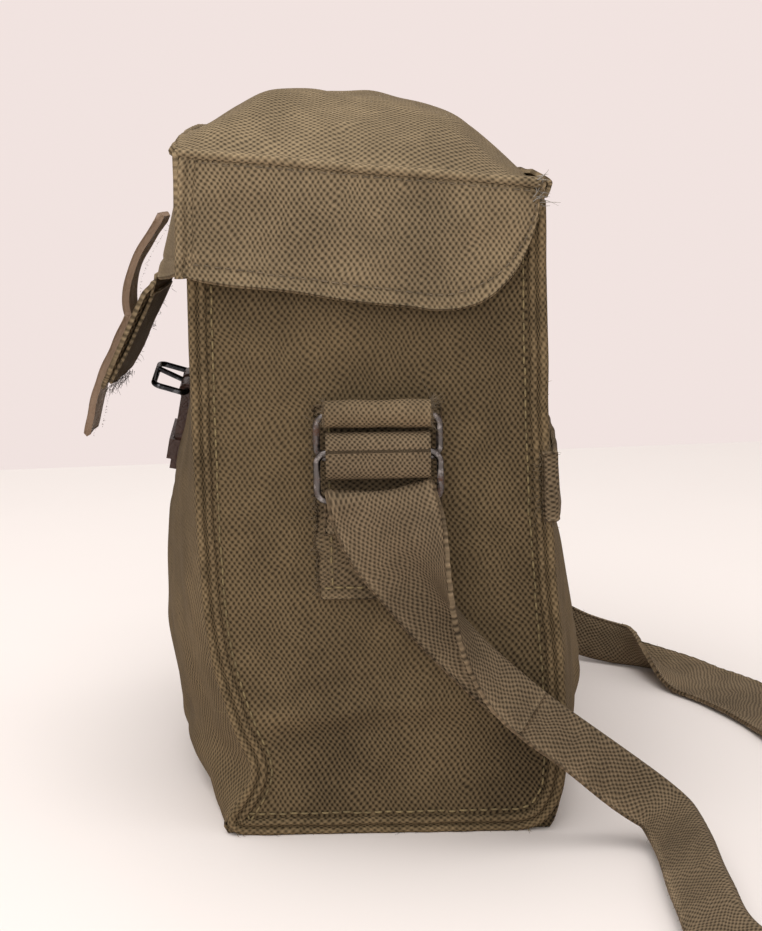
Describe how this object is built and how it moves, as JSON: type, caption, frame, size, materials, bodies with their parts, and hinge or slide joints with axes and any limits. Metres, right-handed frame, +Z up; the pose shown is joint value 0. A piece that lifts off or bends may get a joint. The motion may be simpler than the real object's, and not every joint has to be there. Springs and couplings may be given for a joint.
{
  "type": "messenger bag",
  "caption": "Boxy canvas shoulder satchel with a domed box lid, buckled front closure, side rings and a webbing shoulder strap.",
  "frame": {"origin": "centre of the bottom panel, on the surface that the bag stands on", "axes": "+X towards the bag's right end, -Y towards its front (the closure), +Z up"},
  "size_m": [0.4038, 0.3265, 0.2801],
  "materials": {
    "body_canvas": "heavy plain-weave cotton canvas, faded olive",
    "lid_canvas": "heavy plain-weave cotton canvas, sun-faded khaki",
    "tab_canvas": "plain-weave canvas with frayed cut edges",
    "webbing": "woven cotton webbing, faded khaki",
    "tan_leather": "dry tan leather with rough brown edges",
    "dark_leather": "dark red-brown leather, polished by wear",
    "blackened_steel": "blackened wire, bare on its edges",
    "ring_steel": "plain steel wire with light rust"
  },
  "bodies": {
    "bag": {"front_panel": "body_canvas", "back_panel": "body_canvas", "bottom_panel": "body_canvas", "side_panel_right": "body_canvas", "side_panel_left": "body_canvas", "side_welt_right": "body_canvas", "side_welt_left": "body_canvas", "back_band": "webbing", "strap_tab_right": "tab_canvas", "strap_tab_left": "tab_canvas", "ring_loop_right": "tab_canvas", "ring_loop_left": "tab_canvas", "buckle_chape": "dark_leather", "chape_keeper": "dark_leather", "shoulder_strap": "webbing", "strap_end_right": "webbing", "strap_end_left": "webbing"},
    "lid": {"lid_top": "lid_canvas", "lid_front_flap": "lid_canvas", "lid_side_flap_right": "lid_canvas", "lid_side_flap_left": "lid_canvas", "lid_corner_welt_right": "lid_canvas", "lid_corner_welt_left": "lid_canvas", "billet_bow": "tan_leather"},
    "tongue": {"closing_tongue": "lid_canvas", "tongue_backing": "lid_canvas", "closing_billet": "tan_leather"},
    "buckle_frame": {"buckle_frame": "blackened_steel"},
    "buckle_prong": {"buckle_prong": "blackened_steel"},
    "upper_ring_right": {"upper_ring_right": "ring_steel", "link_band_right": "webbing"},
    "lower_ring_right": {"lower_ring_right": "ring_steel"},
    "upper_ring_left": {"upper_ring_left": "ring_steel", "link_band_left": "webbing"},
    "lower_ring_left": {"lower_ring_left": "ring_steel"}
  },
  "joints": [
    {"name": "lid_fold", "type": "hinge", "parent": "bag", "child": "lid", "pos_m": [0, 0.0605, 0.242], "axis": [-1, 0, 0], "range_deg": [0, 210]},
    {"name": "tongue_fold", "type": "hinge", "parent": "lid", "child": "tongue", "pos_m": [0, -0.0913, 0.2022], "axis": [-1, 0, 0], "range_deg": [-8, 90], "deforming": ["billet_bow"]},
    {"name": "frame_tilt", "type": "hinge", "parent": "bag", "child": "buckle_frame", "pos_m": [0, -0.0829, 0.158], "axis": [-0.9781, 0, 0.2079], "range_deg": [-74, 40]},
    {"name": "prong_lift", "type": "hinge", "parent": "buckle_frame", "child": "buckle_prong", "pos_m": [0, -0.0829, 0.158], "axis": [-0.9781, 0, 0.2079], "range_deg": [0, 45]},
    {"name": "upper_ring_right_swing", "type": "hinge", "parent": "bag", "child": "upper_ring_right", "pos_m": [0.121, -0.0028, 0.1605], "axis": [0, -1, 0], "range_deg": [-3, 150], "deforming": ["strap_end_right"]},
    {"name": "lower_ring_right_swing", "type": "hinge", "parent": "upper_ring_right", "child": "lower_ring_right", "pos_m": [0.1244, -0.0028, 0.1475], "axis": [0, -1, 0], "range_deg": [-20, 50], "deforming": ["strap_end_right"]},
    {"name": "upper_ring_left_swing", "type": "hinge", "parent": "bag", "child": "upper_ring_left", "pos_m": [-0.121, -0.0028, 0.1605], "axis": [0, 1, 0], "range_deg": [-3, 150], "deforming": ["strap_end_left"]},
    {"name": "lower_ring_left_swing", "type": "hinge", "parent": "upper_ring_left", "child": "lower_ring_left", "pos_m": [-0.1244, -0.0028, 0.1475], "axis": [0, 1, 0], "range_deg": [-20, 50], "deforming": ["strap_end_left"]}
  ]
}
